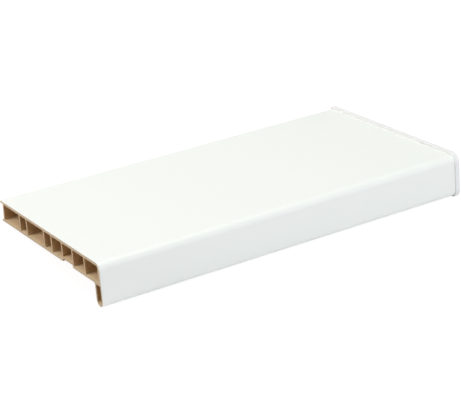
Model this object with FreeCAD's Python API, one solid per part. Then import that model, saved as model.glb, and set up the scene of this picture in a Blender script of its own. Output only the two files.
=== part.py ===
import FreeCAD, Part
import math
import os

# Window sill board: a hollow extruded board of wood composite with a dropped nose, a white
# surface film over its top and nose, and a moulded cap on one end. The other end is sawn.
# Sizes are in millimetres. The section is drawn with Y from the front of the nose (0) to the
# back edge and Z from the top surface (0) downwards. X runs from the sawn end to the cap.

# Board
board_length = 386.0
board_depth = 200.0
board_thickness = 20.5
nose_height = 41.0
nose_thickness = 11.6
film_thickness = 0.3

# Walls of the hollow section
top_skin = 2.4
bottom_skin = 2.4
web_thickness = 2.2
front_wall = 3.3
nose_front_wall = 1.7
nose_back_wall = 1.9
nose_bottom_wall = 2.4
nose_root_web = 2.9
web_centres = [28.4, 51.3, 71.7, 92.6, 107.8, 144.2, 159.0]
least_chamber = 8.0
chamber_corner = 0.8

# Back edge: a web set in from the edge, between two thin lips, and nearer the edge at its foot
back_web_set_in = 5.0
back_web_lean = 1.6
top_lip = 1.9
bottom_lip = 1.8

# Groove along the underside
groove_front = 52.8
groove_back = 72.3
groove_depth = 2.6

# Roundings of the section
edge_radius = 6.5
root_radius = 2.5
lip_radius = 0.5

# Nose: round underneath but for a narrow flat, where the film ends
nose_flat = 0.6

# End cap
cap_plate = 2.5
cap_lap = 3.0
cap_over_top = 2.2
cap_over_front = 1.3
cap_under_nose = 1.5
cap_behind_board = 3.0
cap_edge_radius = 1.8
cap_rim_radius = 0.5
cap_front_radius = 9.5
cap_corner_radius = 2.5
cap_heel_radius = 4.5

# Lugs of the end cap: one in each chamber at least this wide
lug_least_room = 22.0
lug_length = 14.0
lug_wall = 1.6
lug_clearance = 0.3
lug_corner = 0.5

# Cuts run this far past the ends of what they cut
overrun = 5.0

back_web_face = board_depth - back_web_set_in
nose_radius = (nose_thickness - nose_flat) / 2
film_end = nose_thickness / 2


def outline(corners, x):
    """Closed wire at x through (y, z, radius) corners, each rounded by an arc of its radius."""
    ends = []
    edges = []
    for index, (y, z, radius) in enumerate(corners):
        corner = FreeCAD.Vector(x, y, z)
        if radius == 0:
            ends.append((corner, corner))
            continue
        before = corners[index - 1]
        after = corners[(index + 1) % len(corners)]
        to_before = (FreeCAD.Vector(x, before[0], before[1]) - corner).normalize()
        to_after = (FreeCAD.Vector(x, after[0], after[1]) - corner).normalize()
        half_angle = to_before.getAngle(to_after) / 2
        inwards = (to_before + to_after).normalize()
        start = corner + to_before * (radius / math.tan(half_angle))
        end = corner + to_after * (radius / math.tan(half_angle))
        middle = corner + inwards * (radius / math.sin(half_angle) - radius)
        ends.append((start, end))
        edges.append(Part.Arc(start, middle, end).toShape())
    for (_, leave), (arrive, _) in zip(ends, ends[1:] + ends[:1]):
        edges.append(Part.LineSegment(leave, arrive).toShape())
    return Part.Wire(Part.__sortEdges__(edges))


def prism(corners, x_start, x_end):
    """Solid with the section of the given corners between two places along the board."""
    face = Part.Face(outline(corners, x_start))
    return face.extrude(FreeCAD.Vector(x_end - x_start, 0, 0))


def rectangle(y_front, y_back, z_low, z_high, radius):
    """Corners of a rectangle in the section."""
    return [(y_front, z_low, radius), (y_front, z_high, radius),
            (y_back, z_high, radius), (y_back, z_low, radius)]


def envelope_corners():
    """Outline of the finished board, film included and without the gaps at its back."""
    return [(board_depth, 0, 0),
            (0, 0, edge_radius),
            (0, -nose_height, nose_radius),
            (nose_thickness, -nose_height, nose_radius),
            (nose_thickness, -board_thickness, root_radius),
            (board_depth, -board_thickness, 0)]


def board_corners():
    """Outline of the extruded board under its film."""
    groove_top = groove_depth - board_thickness
    return [(board_depth, -film_thickness, 0),
            (film_thickness, -film_thickness, edge_radius - film_thickness),
            (film_thickness, film_thickness - nose_height, nose_radius - film_thickness),
            (film_end, film_thickness - nose_height, 0),
            (film_end, -nose_height, 0),
            (nose_thickness, -nose_height, nose_radius),
            (nose_thickness, -board_thickness, root_radius),
            (groove_front, -board_thickness, lip_radius),
            (groove_front, groove_top, lip_radius),
            (groove_back, groove_top, lip_radius),
            (groove_back, -board_thickness, lip_radius),
            (board_depth, -board_thickness, lip_radius),
            (board_depth, bottom_lip - board_thickness, lip_radius),
            (back_web_face + back_web_lean, bottom_lip - board_thickness, lip_radius),
            (back_web_face, -film_thickness - top_lip, lip_radius),
            (board_depth, -film_thickness - top_lip, lip_radius)]


def webs():
    """Centres of the webs that leave room for a chamber before the back web."""
    last = back_web_face - web_thickness - least_chamber - web_thickness / 2
    return [centre for centre in web_centres if centre <= last]


def chamber_floor(y_front, y_back):
    """Height of a chamber's floor, which rises over the groove."""
    middle = (y_front + y_back) / 2
    over_groove = groove_front < middle < groove_back
    return bottom_skin - board_thickness + (groove_depth if over_groove else 0)


def nose_chamber():
    """Section of the chamber inside the nose, round underneath like the nose itself."""
    front = film_thickness + nose_front_wall
    back = nose_thickness - nose_back_wall
    low = nose_bottom_wall - nose_height
    high = bottom_skin - board_thickness - nose_root_web
    radius = (back - front - nose_flat) / 2
    return [(front, low, radius), (front, high, chamber_corner),
            (back, high, chamber_corner), (back, low, radius)]


def chambers():
    """Section of each chamber from the front to the back, then the one inside the nose."""
    ceiling = -film_thickness - top_skin
    fronts = [film_thickness + front_wall] + [web + web_thickness / 2 for web in webs()]
    backs = [web - web_thickness / 2 for web in webs()] + [back_web_face - web_thickness]
    rooms = []
    for front, back in zip(fronts, backs):
        rooms.append(rectangle(front, back, chamber_floor(front, back), ceiling, chamber_corner))
    rooms[0][1] = (fronts[0], ceiling, edge_radius - film_thickness - front_wall)
    rooms[-1][3] = (backs[-1] + back_web_lean, chamber_floor(fronts[-1], backs[-1]), chamber_corner)
    rooms.append(nose_chamber())
    return rooms


def sill_board():
    """The extruded board: skins, webs, nose, groove and back lips in one piece."""
    board = prism(board_corners(), 0, board_length)
    hollows = [prism(room, -overrun, board_length + overrun) for room in chambers()]
    return board.cut(hollows)


def surface_film():
    """The film over the top, round the front edge, down the nose and round its lower edge."""
    corners = [(board_depth, 0, 0),
               (0, 0, edge_radius),
               (0, -nose_height, nose_radius),
               (film_end, -nose_height, 0),
               (film_end, film_thickness - nose_height, 0),
               (film_thickness, film_thickness - nose_height, nose_radius - film_thickness),
               (film_thickness, -film_thickness, edge_radius - film_thickness),
               (board_depth, -film_thickness, 0)]
    return prism(corners, 0, board_length)


def cap_corners():
    """Outline of the cap: proud of the top, the nose and the back, flush with the underside."""
    back = board_depth + cap_behind_board
    bottom = -nose_height - cap_under_nose
    return [(back, cap_over_top, cap_corner_radius),
            (-cap_over_front, cap_over_top, cap_front_radius),
            (-cap_over_front, bottom, nose_radius + cap_over_front),
            (nose_thickness, bottom, nose_radius),
            (nose_thickness, -board_thickness, root_radius),
            (back, -board_thickness, cap_heel_radius)]


def inset(room, distance):
    """Upright rectangle at a distance inside a chamber's section, with corners that fit in its own."""
    (y_front, z_low, _), _, (y_back, z_high, _), _ = room
    upright = rectangle(y_front + distance, y_back - distance, z_low + distance, z_high - distance, 0)
    radii = [max(radius - distance, lug_corner) for _, _, radius in room]
    return [(y, z, radius) for (y, z, _), radius in zip(upright, radii)]


def takes_lug(room):
    """Whether a chamber is wide enough for a lug of the cap."""
    (y_front, _, _), _, (y_back, _, _), _ = room
    return y_back - y_front >= lug_least_room


def lug(room):
    """Hollow plug of the cap that sits in the end of a chamber."""
    x_tip = board_length - lug_length
    outer = prism(inset(room, lug_clearance), x_tip, board_length)
    inner = prism(inset(room, lug_clearance + lug_wall), x_tip - overrun, board_length)
    return outer.cut(inner)


def end_cap():
    """The moulded cap: a plate, a rim that laps over the board and lugs in its chambers."""
    x_outer = board_length + cap_plate
    x_rim = board_length - cap_lap
    body = prism(cap_corners(), x_rim, x_outer)
    outer_edges = [edge for edge in body.Edges if edge.BoundBox.XMin > board_length]
    body = body.makeFillet(cap_edge_radius, outer_edges)
    rim_edges = [edge for edge in body.Edges if edge.BoundBox.XMax < x_rim + cap_rim_radius]
    body = body.makeFillet(cap_rim_radius, rim_edges)
    body = body.cut(prism(envelope_corners(), -overrun, board_length))
    lugs = [lug(room) for room in chambers() if takes_lug(room)]
    return body.fuse(lugs).removeSplitter()


def rest_angle():
    """Slope of the level floor in the section: it touches the cap's nose and the board's back lip."""
    nose_y = nose_thickness - nose_radius
    nose_z = nose_radius - nose_height - cap_under_nose
    lip_y = board_depth - lip_radius
    lip_z = lip_radius - board_thickness
    run = lip_y - nose_y
    rise = lip_z - nose_z
    return math.atan2(rise, run) + math.asin((nose_radius - lip_radius) / math.hypot(run, rise))


def lay_down(shapes):
    """Turn the pieces as they lie on the floor, and centre them over the origin."""
    turn = -math.degrees(rest_angle())
    origin = FreeCAD.Vector(0, 0, 0)
    x_axis = FreeCAD.Vector(1, 0, 0)
    turned = {name: shape.rotated(origin, x_axis, turn) for name, shape in shapes.items()}
    box = Part.makeCompound(list(turned.values())).optimalBoundingBox(False)
    to_origin = FreeCAD.Vector(-box.Center.x, -box.Center.y, -box.ZMin)
    return {name: shape.translated(to_origin) for name, shape in turned.items()}


pieces = lay_down({
    "sill_board": sill_board(),
    "surface_film": surface_film(),
    "end_cap": end_cap(),
})

os.makedirs("parts", exist_ok=True)
for name, shape in pieces.items():
    shape.exportStep(f"parts/{name}.step")
    box = shape.optimalBoundingBox(False)
    print(f"{name}: {len(shape.Solids)} solid, valid {shape.isValid()}, volume {shape.Volume:.1f} mm3,"
          f" x {box.XMin:.3f} {box.XMax:.3f} y {box.YMin:.3f} {box.YMax:.3f} z {box.ZMin:.3f} {box.ZMax:.3f}")
print(f"lies at {math.degrees(rest_angle()):.4f} degrees")
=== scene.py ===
import math

import bmesh
import bpy
from mathutils import Matrix, Vector


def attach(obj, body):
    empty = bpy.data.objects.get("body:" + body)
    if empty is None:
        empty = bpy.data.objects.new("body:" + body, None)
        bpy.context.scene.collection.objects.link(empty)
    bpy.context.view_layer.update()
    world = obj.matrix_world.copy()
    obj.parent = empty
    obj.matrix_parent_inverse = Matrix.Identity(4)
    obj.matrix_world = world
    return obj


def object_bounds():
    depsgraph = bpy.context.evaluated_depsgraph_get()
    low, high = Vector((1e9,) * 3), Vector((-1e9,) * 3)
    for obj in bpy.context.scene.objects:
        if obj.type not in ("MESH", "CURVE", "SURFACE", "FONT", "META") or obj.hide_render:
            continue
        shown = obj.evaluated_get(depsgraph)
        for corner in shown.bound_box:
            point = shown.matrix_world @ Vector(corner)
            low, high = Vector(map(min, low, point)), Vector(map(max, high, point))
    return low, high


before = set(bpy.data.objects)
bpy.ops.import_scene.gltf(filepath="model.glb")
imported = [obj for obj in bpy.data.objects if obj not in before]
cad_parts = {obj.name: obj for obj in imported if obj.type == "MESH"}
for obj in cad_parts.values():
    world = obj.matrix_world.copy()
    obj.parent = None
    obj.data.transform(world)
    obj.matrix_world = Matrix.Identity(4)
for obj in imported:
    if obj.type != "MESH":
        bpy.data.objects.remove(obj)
cad_low, cad_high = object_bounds()

# A hollow window sill board of wood composite: a white film over its top and nose, an end cap on
# the far end, and an open sawn end. Lengths are in metres. X runs from the sawn end to the cap.

MM = 0.001
SAWN_END = cad_low.x
FACE_DEPTH = 0.05 * MM
WELD_DISTANCE = 0.005 * MM

# The board as it lies: its slope, and how high its underside passes over the origin
BOARD_TILT = math.radians(6.4992)
BOARD_UP = (0, math.sin(BOARD_TILT), math.cos(BOARD_TILT))
UNDERSIDE = 11.07 * MM

# Camera: where it looks, how far away it stands and from which side
CAMERA_AIM = Vector((-21.89, -31.98, 20.0)) * MM
CAMERA_DISTANCE = 1498.66 * MM
CAMERA_AZIMUTH = math.radians(-31.850)
CAMERA_ELEVATION = math.radians(27.024)
CAMERA_ROLL = math.radians(-0.872)
CAMERA_LENS = 126.188
SENSOR_WIDTH = 36.0

# Floor and sky: what they give to the board, and how bright they look to the camera and in a gloss
FLOOR_HALF = 6.0
FLOOR_COLOUR = (0.16, 0.16, 0.16, 1)
FLOOR_BOUNCE_COLOUR = (0.85, 0.85, 0.85, 1)
FLOOR_LIFT = 0.92
SKY_LIGHT = 0.2
SKY_SEEN = 1.0

# Soft lamps: place, size, power and colour
LAMP_AIM = Vector((0, 0, 20.0)) * MM
LAMPS = {
    "lamp_above": (Vector((0.0, 0.2, 1.9)), 1.4, 21.7, (0.935, 1.0, 0.955)),
    "lamp_left": (Vector((-1.5, 0.7, 1.2)), 1.0, 14.2, (1.2, 1.0, 1.01)),
    "lamp_left_low": (Vector((-1.9, -0.1, 0.4)), 0.8, 5.0, (1.0, 1.0, 1.0)),
    "lamp_front": (Vector((0.5, -1.8, 0.95)), 1.8, 11.8, (0.95, 1.0, 1.01)),
    "lamp_front_right": (Vector((1.0, -1.6, 0.45)), 0.8, 5.7, (1.1, 1.0, 1.2)),
}

# Lines that the die or the roller leaves are this many times as long as they are apart
LINE_STRETCH = 60.0

# White film over the top and the nose, satin with a very fine print, and its sawn edge
FILM_COLOUR = (0.855, 0.885, 0.85, 1)
FILM_EDGE_COLOUR = (0.64, 0.64, 0.60, 1)
FILM_ROUGHNESS = 0.45
FILM_PATCH = 60 * MM
FILM_TONE = 0.006
FILM_SHEEN_PATCH = 20 * MM
FILM_SHEEN_TONE = 0.10
FILM_GRAIN = 0.7 * MM
FILM_RELIEF = 0.004 * MM
FILM_DRAW = 6 * MM
FILM_DRAW_RELIEF = 0.01 * MM

# Moulded end cap: white plastic with the fine texture of its mould
CAP_COLOUR = (0.82, 0.83, 0.825, 1)
CAP_ROUGHNESS = 0.45
CAP_PATCH = 25 * MM
CAP_TONE = 0.008
CAP_SHEEN_PATCH = 8 * MM
CAP_SHEEN_TONE = 0.08
CAP_GRAIN = 0.5 * MM
CAP_RELIEF = 0.006 * MM

# Wood composite: browner where the die has smoothed it and paler where it is sawn. The cut of the webs is
# painted darker and browner, a painted shade from the dark chambers beside them. Near the sawn end there
# is sawdust and painted light: paler on what faces up and on the foot of the chamber walls, where light
# falls in through the open end. Heights count from the underside of the board.
WALL_COLOUR = (0.435, 0.25, 0.102, 1)
WALL_PALE_COLOUR = (0.54, 0.34, 0.16, 1)
WALL_DARK_COLOUR = (0.30, 0.15, 0.055, 1)
CUT_COLOUR = (0.475, 0.385, 0.262, 1)
CUT_PALE_COLOUR = (0.58, 0.48, 0.34, 1)
CUT_DARK_COLOUR = (0.35, 0.25, 0.145, 1)
# Painted shade: the cut of the webs darker and browner, for the dark chambers beside them
CUT_WEB_SHADE_COLOUR = (0.44, 0.31, 0.175, 1)
WEB_FOOT = (2.0 * MM, 4.5 * MM)
WEB_HEAD = (18.5 * MM, 16.0 * MM)
WEB_FRONT = (-92 * MM, -80 * MM)
# Colour of the sawdust and the painted light on the chamber floors and wall feet near the sawn end
DUST_AND_LIGHT_COLOUR = (0.84, 0.69, 0.42, 1)
WALL_ROUGHNESS = 0.55
CUT_ROUGHNESS = 0.9
FIBRE_LENGTH = 5.0 * MM
FIBRE_WIDTH = 0.35 * MM
FIBRE_PALE = (0.54, 0.72)
FIBRE_DARK = (0.46, 0.30)
WALL_PATCH = 20 * MM
WALL_TONE = 0.07
WALL_DRAW = 1.6 * MM
WALL_DRAW_TONE = 0.05
WALL_DRAW_RELIEF = 0.03 * MM
CUT_GRAIN = 0.5 * MM
CUT_RELIEF = 0.05 * MM
SAW_RADIUS = 125 * MM
SAW_HUB = (0, -0.4, -1.0)
SAW_STEP = 1.3 * MM
SAW_WANDER = 6 * MM
SAW_RELIEF = 0.02 * MM
# Sawdust and painted light: how far in from the sawn end the floors and the foot of the walls are painted
# paler, where light falls in
DUST_AND_LIGHT_REACH = 34 * MM
DUST_AND_LIGHT_DRIFT = 5 * MM
DUST_AND_LIGHT_DRIFT_SHARE = 0.6
DUST_AND_LIGHT_EDGE = (0.35, 1.0)
DUST_AND_LIGHT_SLOPE = (0.5, 0.9)
WALL_FOOT_LIGHT_LOWEST = 1.2 * MM
WALL_FOOT_LIGHT_HEIGHTS = (6.4 * MM, 2.4 * MM)
WALL_FOOT_LIGHT_SHARE = 0.45

# Burrs that the saw leaves round the mouths of the chambers. They root a little way into the wall
# and behind the sawn face.
BURR_SPACING = 0.75 * MM
BURR_SHARE = 0.55
BURR_SHORTEST = 0.25 * MM
BURR_LONGEST = 0.9 * MM
BURR_WIDTH = 0.07 * MM
BURR_TIP = 0.2
BURR_STRAY = Vector((0.3, 1, 1))
BURR_SPREAD = 0.8
BURR_LEAN = 0.35
BURR_ROOT = 0.06 * MM
BURR_SETBACK = 0.12 * MM
BURR_SIDES = 5
BURR_SEED = 11
BURR_TONE = 0.15


def turned_towards(back, roll=0.0):
    """Rotation of a camera or lamp whose back points along the given direction."""
    back = back.normalized()
    right = (-back).cross(Vector((0, 0, 1))).normalized()
    up = right.cross(-back)
    rolled_right = math.cos(roll) * right + math.sin(roll) * up
    rolled_up = math.cos(roll) * up - math.sin(roll) * right
    return Matrix((rolled_right, rolled_up, back)).transposed()


def add_camera():
    flat = math.cos(CAMERA_ELEVATION)
    back = Vector((math.sin(CAMERA_AZIMUTH) * flat, -math.cos(CAMERA_AZIMUTH) * flat,
                   math.sin(CAMERA_ELEVATION)))
    data = bpy.data.cameras.new("camera")
    data.lens = CAMERA_LENS
    data.sensor_width = SENSOR_WIDTH
    camera = bpy.data.objects.new("camera", data)
    place = CAMERA_AIM + back * CAMERA_DISTANCE
    camera.matrix_world = Matrix.Translation(place) @ turned_towards(back, CAMERA_ROLL).to_4x4()
    bpy.context.scene.collection.objects.link(camera)
    bpy.context.scene.camera = camera


def add_lamps():
    for name, (place, size, power, colour) in LAMPS.items():
        data = bpy.data.lights.new(name, "AREA")
        data.size = size
        data.energy = power
        data.color = colour
        lamp = bpy.data.objects.new(name, data)
        turn = turned_towards(place - LAMP_AIM)
        lamp.matrix_world = Matrix.Translation(place) @ turn.to_4x4()
        bpy.context.scene.collection.objects.link(lamp)


# Wiring of node trees

def feed(tree, socket, value):
    """Link a socket from another one, or set its value."""
    if isinstance(value, bpy.types.NodeSocket):
        tree.links.new(value, socket)
    else:
        socket.default_value = value


def put(tree, kind, **inputs):
    """New node of a kind with its inputs fed by name."""
    node = tree.nodes.new(kind)
    for name, value in inputs.items():
        feed(tree, node.inputs[name], value)
    return node


def maths(tree, operation, *values):
    """Output of a Math node."""
    node = tree.nodes.new("ShaderNodeMath")
    node.operation = operation
    for socket, value in zip(node.inputs, values):
        feed(tree, socket, value)
    return node.outputs[0]


def vector_maths(tree, operation, first, second):
    """Output of a Vector Math node. Scale takes a number, and the others a second vector."""
    node = tree.nodes.new("ShaderNodeVectorMath")
    node.operation = operation
    feed(tree, node.inputs[0], first)
    feed(tree, node.inputs["Scale" if operation == "SCALE" else 1], second)
    return node.outputs["Value" if operation in ("DISTANCE", "DOT_PRODUCT") else "Vector"]


def blend(tree, mask, first, second):
    """Colour that goes from the first to the second where the mask is 1."""
    node = tree.nodes.new("ShaderNodeMix")
    node.data_type = "RGBA"
    for socket, value in zip((node.inputs[0], node.inputs[6], node.inputs[7]), (mask, first, second)):
        feed(tree, socket, value)
    return node.outputs[2]


def ramp(tree, value, start, end):
    """Smooth step from 0 at the start to 1 at the end."""
    node = tree.nodes.new("ShaderNodeMapRange")
    node.interpolation_type = "SMOOTHSTEP"
    feed(tree, node.inputs["Value"], value)
    node.inputs["From Min"].default_value = start
    node.inputs["From Max"].default_value = end
    return node.outputs[0]


def noise(tree, places, size, detail):
    """Noise from 0 to 1 with bumps of a given size."""
    node = put(tree, "ShaderNodeTexNoise", Vector=places, Detail=detail)
    feed(tree, node.inputs["Scale"], maths(tree, "DIVIDE", 1.0, size))
    return node.outputs[0]


def drawn_out(tree, places, along, across):
    """Noise from 0 to 1 whose bumps are longer along the board than across it."""
    size = put(tree, "ShaderNodeCombineXYZ", X=along, Y=across, Z=across)
    return noise(tree, vector_maths(tree, "DIVIDE", places, size.outputs[0]), 1.0, 2.0)


def new_effect(name, inputs, outputs):
    """Shader node group: its tree, its given values and the sockets of what it makes."""
    tree = bpy.data.node_groups.new(name, "ShaderNodeTree")
    for label in inputs:
        kind = "Vector" if label in ("Places", "Facing") else "Float"
        tree.interface.new_socket(label, in_out="INPUT", socket_type="NodeSocket" + kind)
    for label in outputs:
        tree.interface.new_socket(label, in_out="OUTPUT", socket_type="NodeSocketFloat")
    return tree, tree.nodes.new("NodeGroupInput").outputs, tree.nodes.new("NodeGroupOutput").inputs


# Effects that the finishes share

def mottle_effect():
    """Slow change of tone over patches: a factor a little over or under 1."""
    tree, given, made = new_effect("mottle", ["Places", "Patch", "Strength"], ["Tone"])
    patches = noise(tree, given["Places"], given["Patch"], 2.0)
    either_way = maths(tree, "MULTIPLY_ADD", patches, 2.0, -1.0)
    feed(tree, made["Tone"], maths(tree, "MULTIPLY_ADD", either_way, given["Strength"], 1.0))
    return tree


def drawn_lines_effect():
    """Lines that the die or the roller leaves along the board, from -1 to 1."""
    tree, given, made = new_effect("drawn_lines", ["Places", "Spacing"], ["Lines"])
    along = maths(tree, "MULTIPLY", given["Spacing"], LINE_STRETCH)
    lines = drawn_out(tree, given["Places"], along, given["Spacing"])
    feed(tree, made["Lines"], maths(tree, "MULTIPLY_ADD", lines, 2.0, -1.0))
    return tree


def fine_relief_effect():
    """Height of a fine even texture."""
    tree, given, made = new_effect("fine_relief", ["Places", "Grain", "Height"], ["Relief"])
    grain = noise(tree, given["Places"], given["Grain"], 1.0)
    feed(tree, made["Relief"], maths(tree, "MULTIPLY", grain, given["Height"]))
    return tree


def wood_fibres_effect():
    """Wood fibres that lie along the board: masks of the pale ones and the dark ones."""
    tree, given, made = new_effect("wood_fibres", ["Places", "Length", "Width"], ["Pale", "Dark"])
    fibres = drawn_out(tree, given["Places"], given["Length"], given["Width"])
    feed(tree, made["Pale"], ramp(tree, fibres, *FIBRE_PALE))
    feed(tree, made["Dark"], ramp(tree, fibres, *FIBRE_DARK))
    return tree


def sawn_end_effect():
    """The sawn end: 1 on its face, and the height of the arcs that the saw leaves there."""
    tree, given, made = new_effect("sawn_end", ["Places", "Radius", "Step", "Height"], ["Cut", "Arcs"])
    place = put(tree, "ShaderNodeSeparateXYZ", Vector=given["Places"])
    cut = maths(tree, "LESS_THAN", place.outputs["X"], SAWN_END + FACE_DEPTH)
    hub = vector_maths(tree, "SCALE", SAW_HUB, given["Radius"])
    spoke = vector_maths(tree, "DISTANCE", given["Places"], hub)
    wander = noise(tree, given["Places"], SAW_WANDER, 1.0)
    steps = maths(tree, "ADD", maths(tree, "DIVIDE", spoke, given["Step"]), wander)
    wave = maths(tree, "SINE", maths(tree, "MULTIPLY", steps, 2 * math.pi))
    height = maths(tree, "MULTIPLY", wave, given["Height"])
    feed(tree, made["Cut"], cut)
    feed(tree, made["Arcs"], maths(tree, "MULTIPLY", height, cut))
    return tree


def board_level_effect():
    """Height over the underside of the board, square to it."""
    tree, given, made = new_effect("board_level", ["Places"], ["Level"])
    height = vector_maths(tree, "DOT_PRODUCT", given["Places"], BOARD_UP)
    feed(tree, made["Level"], maths(tree, "SUBTRACT", height, UNDERSIDE))
    return tree


def web_shade_effect():
    """Painted shade on the cut of the webs: 1 on the webs between the skins, away from the front wall."""
    tree, given, made = new_effect("web_shade", ["Places", "Level"], ["Core"])
    place = put(tree, "ShaderNodeSeparateXYZ", Vector=given["Places"])
    over_foot = ramp(tree, given["Level"], *WEB_FOOT)
    under_head = ramp(tree, given["Level"], *WEB_HEAD)
    behind_front = ramp(tree, place.outputs["Y"], *WEB_FRONT)
    between = maths(tree, "MULTIPLY", over_foot, under_head)
    feed(tree, made["Core"], maths(tree, "MULTIPLY", between, behind_front))
    return tree


def sawdust_and_light_effect():
    """Sawdust and painted light near the sawn end: pale on what faces up, where light falls in through the
    open end, and on the foot of the chamber walls as painted bounce light.
    """
    tree, given, made = new_effect("sawdust_and_light", ["Places", "Facing", "Level", "Reach"], ["Dust"])
    place = put(tree, "ShaderNodeSeparateXYZ", Vector=given["Places"])
    facing = put(tree, "ShaderNodeSeparateXYZ", Vector=given["Facing"])
    depth = maths(tree, "DIVIDE", maths(tree, "SUBTRACT", place.outputs["X"], SAWN_END), given["Reach"])
    drift = noise(tree, given["Places"], DUST_AND_LIGHT_DRIFT, 3.0)
    amount = maths(tree, "SUBTRACT", maths(tree, "MULTIPLY_ADD", drift, DUST_AND_LIGHT_DRIFT_SHARE, 1.0), depth)
    upward = ramp(tree, facing.outputs["Z"], *DUST_AND_LIGHT_SLOPE)
    above_nose = maths(tree, "GREATER_THAN", given["Level"], WALL_FOOT_LIGHT_LOWEST)
    wall_foot_light = maths(tree, "MULTIPLY", ramp(tree, given["Level"], *WALL_FOOT_LIGHT_HEIGHTS), above_nose)
    dusty_or_lit = maths(tree, "MAXIMUM", upward, maths(tree, "MULTIPLY", wall_foot_light, WALL_FOOT_LIGHT_SHARE))
    feed(tree, made["Dust"], maths(tree, "MULTIPLY", ramp(tree, amount, *DUST_AND_LIGHT_EDGE), dusty_or_lit))
    return tree


# Finishes

def use(tree, effect, **inputs):
    """Outputs of an effect placed in a material."""
    node = tree.nodes.new("ShaderNodeGroup")
    node.node_tree = effect
    for name, value in inputs.items():
        feed(tree, node.inputs[name], value)
    return node.outputs


def new_material(name):
    """Material, its tree, the inputs of its shader and the places on the object."""
    material = bpy.data.materials.new(name)
    material.use_nodes = True
    tree = material.node_tree
    places = tree.nodes.new("ShaderNodeTexCoord").outputs["Object"]
    return material, tree, tree.nodes["Principled BSDF"].inputs, places


def raise_relief(tree, shader, height):
    """Let a height in metres bend the shader's normal."""
    bump = put(tree, "ShaderNodeBump", Distance=1.0, Height=height)
    feed(tree, shader["Normal"], bump.outputs[0])


def white_film():
    material, tree, shader, places = new_material("white_film")
    tone = use(tree, mottle, Places=places, Patch=FILM_PATCH, Strength=FILM_TONE)["Tone"]
    sheen = use(tree, mottle, Places=places, Patch=FILM_SHEEN_PATCH, Strength=FILM_SHEEN_TONE)["Tone"]
    saw = use(tree, sawn_end, Places=places, Radius=SAW_RADIUS, Step=SAW_STEP, Height=SAW_RELIEF)
    face = vector_maths(tree, "SCALE", FILM_COLOUR[:3], tone)
    feed(tree, shader["Base Color"], blend(tree, saw["Cut"], face, FILM_EDGE_COLOUR))
    feed(tree, shader["Roughness"], maths(tree, "MULTIPLY", sheen, FILM_ROUGHNESS))
    grain = use(tree, fine_relief, Places=places, Grain=FILM_GRAIN, Height=FILM_RELIEF)["Relief"]
    lines = use(tree, drawn_lines, Places=places, Spacing=FILM_DRAW)["Lines"]
    raise_relief(tree, shader, maths(tree, "MULTIPLY_ADD", lines, FILM_DRAW_RELIEF, grain))
    return material


def cap_plastic():
    material, tree, shader, places = new_material("cap_plastic")
    tone = use(tree, mottle, Places=places, Patch=CAP_PATCH, Strength=CAP_TONE)["Tone"]
    sheen = use(tree, mottle, Places=places, Patch=CAP_SHEEN_PATCH, Strength=CAP_SHEEN_TONE)["Tone"]
    feed(tree, shader["Base Color"], vector_maths(tree, "SCALE", CAP_COLOUR[:3], tone))
    feed(tree, shader["Roughness"], maths(tree, "MULTIPLY", sheen, CAP_ROUGHNESS))
    grain = use(tree, fine_relief, Places=places, Grain=CAP_GRAIN, Height=CAP_RELIEF)["Relief"]
    raise_relief(tree, shader, grain)
    return material


def wood_composite():
    material, tree, shader, places = new_material("wood_composite")
    facing = tree.nodes.new("ShaderNodeTexCoord").outputs["Normal"]
    tone = use(tree, mottle, Places=places, Patch=WALL_PATCH, Strength=WALL_TONE)["Tone"]
    lines = use(tree, drawn_lines, Places=places, Spacing=WALL_DRAW)["Lines"]
    fibres = use(tree, wood_fibres, Places=places, Length=FIBRE_LENGTH, Width=FIBRE_WIDTH)
    saw = use(tree, sawn_end, Places=places, Radius=SAW_RADIUS, Step=SAW_STEP, Height=SAW_RELIEF)
    level = use(tree, board_level, Places=places)["Level"]
    web_shade_mask = use(tree, web_shade, Places=places, Level=level)["Core"]
    dust_and_light = use(tree, sawdust_and_light, Places=places, Facing=facing, Level=level, Reach=DUST_AND_LIGHT_REACH)["Dust"]
    grain = use(tree, fine_relief, Places=places, Grain=CUT_GRAIN, Height=CUT_RELIEF)["Relief"]

    wall = blend(tree, fibres["Pale"], WALL_COLOUR, WALL_PALE_COLOUR)
    wall = blend(tree, fibres["Dark"], wall, WALL_DARK_COLOUR)
    wall = vector_maths(tree, "SCALE", wall, maths(tree, "MULTIPLY_ADD", lines, WALL_DRAW_TONE, tone))
    # Painted shade: the cut of the webs darker and browner, for the dark chambers beside them
    cut = blend(tree, web_shade_mask, CUT_COLOUR, CUT_WEB_SHADE_COLOUR)
    cut = blend(tree, fibres["Pale"], cut, CUT_PALE_COLOUR)
    cut = blend(tree, fibres["Dark"], cut, CUT_DARK_COLOUR)
    # Sawdust and painted light: chamber floors and wall feet near the sawn end painted paler where light
    # falls in
    feed(tree, shader["Base Color"], blend(tree, saw["Cut"], blend(tree, dust_and_light, wall, DUST_AND_LIGHT_COLOUR), cut))

    torn = maths(tree, "MAXIMUM", saw["Cut"], dust_and_light)
    rougher = CUT_ROUGHNESS - WALL_ROUGHNESS
    feed(tree, shader["Roughness"], maths(tree, "MULTIPLY_ADD", torn, rougher, WALL_ROUGHNESS))
    height = maths(tree, "MULTIPLY_ADD", grain, torn, saw["Arcs"])
    raise_relief(tree, shader, maths(tree, "MULTIPLY_ADD", lines, WALL_DRAW_RELIEF, height))
    return material


def burr_wood():
    material, tree, shader, places = new_material("burr_wood")
    tone = use(tree, mottle, Places=places, Patch=BURR_SPACING, Strength=BURR_TONE)["Tone"]
    feed(tree, shader["Base Color"], vector_maths(tree, "SCALE", CUT_PALE_COLOUR[:3], tone))
    shader["Roughness"].default_value = CUT_ROUGHNESS
    return material


def finish_node(name, material):
    """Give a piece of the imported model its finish."""
    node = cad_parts[name]
    node.data.materials.clear()
    node.data.materials.append(material)


# Floor and sky

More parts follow.
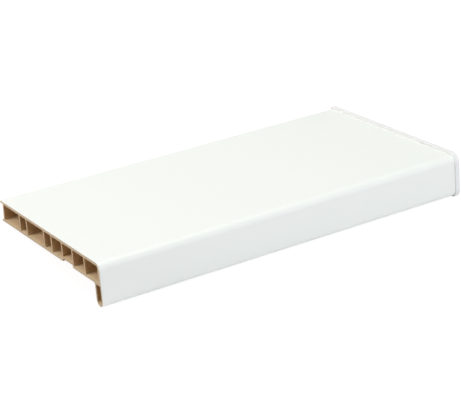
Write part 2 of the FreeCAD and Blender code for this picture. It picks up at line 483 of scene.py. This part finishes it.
def seen_directly(tree):
    """1 for a ray from the camera, a gloss or clear matter, and 0 for the light that falls on the board."""
    rays = tree.nodes.new("ShaderNodeLightPath").outputs
    seen = maths(tree, "MAXIMUM", rays["Is Camera Ray"], rays["Is Glossy Ray"])
    return maths(tree, "MAXIMUM", seen, rays["Is Transmission Ray"])


def add_sky():
    world = bpy.data.worlds.new("sky")
    world.use_nodes = True
    tree = world.node_tree
    background = tree.nodes["Background"].inputs
    background["Color"].default_value = (1, 1, 1, 1)
    strength = maths(tree, "MULTIPLY_ADD", seen_directly(tree), SKY_SEEN - SKY_LIGHT, SKY_LIGHT)
    feed(tree, background["Strength"], strength)
    bpy.context.scene.world = world


def studio_floor():
    """Floor that looks white but for the board's shadow, and that hides nothing from below."""
    material = bpy.data.materials.new("studio_floor")
    material.use_nodes = True
    tree = material.node_tree
    shader = tree.nodes["Principled BSDF"].inputs
    seen = seen_directly(tree)
    feed(tree, shader["Base Color"], blend(tree, seen, FLOOR_BOUNCE_COLOUR, FLOOR_COLOUR))
    shader["Roughness"].default_value = 1.0
    shader["Specular IOR Level"].default_value = 0.0
    shader["Emission Color"].default_value = (1, 1, 1, 1)
    feed(tree, shader["Emission Strength"], maths(tree, "MULTIPLY", seen, FLOOR_LIFT))
    underneath = tree.nodes.new("ShaderNodeNewGeometry").outputs["Backfacing"]
    feed(tree, shader["Alpha"], maths(tree, "SUBTRACT", 1.0, underneath))
    return material


def add_floor():
    mesh = bpy.data.meshes.new("floor")
    corners = [(-FLOOR_HALF, -FLOOR_HALF, 0), (FLOOR_HALF, -FLOOR_HALF, 0),
               (FLOOR_HALF, FLOOR_HALF, 0), (-FLOOR_HALF, FLOOR_HALF, 0)]
    mesh.from_pydata(corners, [], [(0, 1, 2, 3)])
    mesh.materials.append(studio_floor())
    floor = bpy.data.objects.new("floor", mesh)
    bpy.context.scene.collection.objects.link(floor)


# Burrs round the chamber mouths

def faces_an_end(face):
    """Whether a face looks along the board, as the sawn face does."""
    return abs(face.normal.x) > 0.5


def loop_width(loop):
    """How far a loop of edges reaches across the board."""
    across = [vert.co.y for edge in loop for vert in edge.verts]
    return max(across) - min(across)


def number_of(edge):
    """An edge's place in the mesh, which keeps the order of the walk the same on every run."""
    return edge.index


def mouth_loops(shape):
    """Closed loops of edges round the chambers on the sawn face, without the board's own outline."""
    left = {edge for edge in shape.edges
            if all(vert.co.x < SAWN_END + FACE_DEPTH for vert in edge.verts)
            and sorted(faces_an_end(face) for face in edge.link_faces) == [False, True]}
    loops = []
    while left:
        loop = [min(left, key=number_of)]
        left.remove(loop[0])
        for edge in loop:
            beside = {near for vert in edge.verts for near in vert.link_edges} & left
            left -= beside
            loop += sorted(beside, key=number_of)
        loops.append(loop)
    loops.remove(max(loops, key=loop_width))
    return sorted(loops, key=lambda loop: min(vert.co.y for edge in loop for vert in edge.verts))


def mouth_edges(board):
    """Mesh of the chamber mouths' edges, with the way into the chamber at each point."""
    shape = bmesh.new()
    shape.from_mesh(board.data)
    bmesh.ops.remove_doubles(shape, verts=shape.verts, dist=WELD_DISTANCE)
    shape.edges.index_update()
    numbers = {}
    edges = []
    inward = []
    for edge in [edge for loop in mouth_loops(shape) for edge in loop]:
        wall = next(face for face in edge.link_faces if not faces_an_end(face))
        for vert in edge.verts:
            if vert not in numbers:
                numbers[vert] = len(numbers)
                inward.append(Vector((0, 0, 0)))
            inward[numbers[vert]] += wall.normal
        edges.append([numbers[vert] for vert in edge.verts])
    mouths = bpy.data.meshes.new("chamber_mouths")
    mouths.from_pydata([vert.co.copy() for vert in numbers], edges, [])
    shape.free()
    ways = mouths.attributes.new("into_chamber", "FLOAT_VECTOR", "POINT")
    for place, way in zip(ways.data, inward):
        place.vector = way.normalized()
    return mouths


def random_value(tree, kind, seed, **limits):
    """Output of a Random Value node of a kind."""
    node = tree.nodes.new("FunctionNodeRandomValue")
    node.data_type = kind
    live = {socket.name: socket for socket in node.inputs if socket.enabled}
    feed(tree, live["Seed"], seed)
    for name, value in limits.items():
        feed(tree, live[name], value)
    return next(socket for socket in node.outputs if socket.enabled)


def burr_tree():
    """Geometry nodes that grow short tapered fibres along edges, into the chambers."""
    tree = bpy.data.node_groups.new("burrs", "GeometryNodeTree")
    sockets = {"Edges": "Geometry", "Spacing": "Float", "Share": "Float", "Shortest": "Float",
               "Longest": "Float", "Width": "Float", "Spread": "Float", "Lean": "Float", "Root": "Float",
               "Setback": "Float", "Sides": "Int", "Seed": "Int", "Material": "Material"}
    for label, kind in sockets.items():
        tree.interface.new_socket(label, in_out="INPUT", socket_type="NodeSocket" + kind)
    tree.interface.new_socket("Burrs", in_out="OUTPUT", socket_type="NodeSocketGeometry")
    given = tree.nodes.new("NodeGroupInput").outputs
    made = tree.nodes.new("NodeGroupOutput").inputs

    curve = put(tree, "GeometryNodeMeshToCurve", Mesh=given["Edges"])
    spaced = tree.nodes.new("GeometryNodeResampleCurve")
    spaced.mode = "LENGTH"
    feed(tree, spaced.inputs["Curve"], curve.outputs[0])
    feed(tree, spaced.inputs["Length"], given["Spacing"])

    inward = tree.nodes.new("GeometryNodeInputNamedAttribute")
    inward.data_type = "FLOAT_VECTOR"
    inward.inputs["Name"].default_value = "into_chamber"
    inward = inward.outputs["Attribute"]
    back_into_wall = vector_maths(tree, "SCALE", inward, maths(tree, "MULTIPLY", given["Root"], -1.0))
    behind_face = put(tree, "ShaderNodeCombineXYZ", X=given["Setback"])
    rooted = put(tree, "GeometryNodeSetPosition", Geometry=spaced.outputs[0],
                 Offset=vector_maths(tree, "ADD", back_into_wall, behind_face.outputs[0]))

    stray = random_value(tree, "FLOAT_VECTOR", given["Seed"], Min=-BURR_STRAY, Max=BURR_STRAY)
    lean = put(tree, "ShaderNodeCombineXYZ", X=given["Lean"])
    growth = vector_maths(tree, "ADD", vector_maths(tree, "ADD", inward, lean.outputs[0]),
                          vector_maths(tree, "SCALE", stray, given["Spread"]))
    turn = tree.nodes.new("FunctionNodeAlignRotationToVector")
    turn.axis = "Z"
    feed(tree, turn.inputs["Vector"], growth)

    fibre = put(tree, "GeometryNodeMeshCone", Vertices=given["Sides"], Depth=1.0)
    feed(tree, fibre.inputs["Radius Top"], maths(tree, "MULTIPLY", given["Width"], BURR_TIP))
    feed(tree, fibre.inputs["Radius Bottom"], given["Width"])
    length = random_value(tree, "FLOAT", given["Seed"], Min=given["Shortest"], Max=given["Longest"])
    size = put(tree, "ShaderNodeCombineXYZ", X=1.0, Y=1.0, Z=length)
    grown = put(tree, "GeometryNodeInstanceOnPoints", Points=rooted.outputs[0],
                Selection=random_value(tree, "BOOLEAN", given["Seed"], Probability=given["Share"]),
                Instance=fibre.outputs["Mesh"], Rotation=turn.outputs[0], Scale=size.outputs[0])
    real = put(tree, "GeometryNodeRealizeInstances", Geometry=grown.outputs[0])
    finished = put(tree, "GeometryNodeSetMaterial", Geometry=real.outputs[0], Material=given["Material"])
    feed(tree, made["Burrs"], finished.outputs[0])
    return tree


def add_burrs(board, material):
    """One mesh of all burrs, which rides with the board."""
    source = bpy.data.objects.new("chamber_mouths", mouth_edges(board))
    bpy.context.scene.collection.objects.link(source)
    grow = source.modifiers.new("burrs", "NODES")
    grow.node_group = burr_tree()
    values = {"Spacing": BURR_SPACING, "Share": BURR_SHARE, "Shortest": BURR_SHORTEST,
              "Longest": BURR_LONGEST, "Width": BURR_WIDTH, "Spread": BURR_SPREAD, "Lean": BURR_LEAN,
              "Root": BURR_ROOT, "Setback": BURR_SETBACK, "Sides": BURR_SIDES, "Seed": BURR_SEED,
              "Material": material}
    for socket in grow.node_group.interface.items_tree:
        if socket.name in values:
            grow[socket.identifier] = values[socket.name]
    evaluated = source.evaluated_get(bpy.context.evaluated_depsgraph_get())
    burrs = bpy.data.objects.new("saw_burrs", bpy.data.meshes.new_from_object(evaluated))
    bpy.data.objects.remove(source)
    bpy.context.scene.collection.objects.link(burrs)
    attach(burrs, "root")


bpy.context.scene.view_settings.view_transform = "Standard"
add_camera()
add_lamps()
add_sky()
add_floor()

mottle = mottle_effect()
drawn_lines = drawn_lines_effect()
fine_relief = fine_relief_effect()
wood_fibres = wood_fibres_effect()
sawn_end = sawn_end_effect()
board_level = board_level_effect()
web_shade = web_shade_effect()
sawdust_and_light = sawdust_and_light_effect()
finish_node("sill_board", wood_composite())
finish_node("surface_film", white_film())
finish_node("end_cap", cap_plastic())
add_burrs(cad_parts["sill_board"], burr_wood())
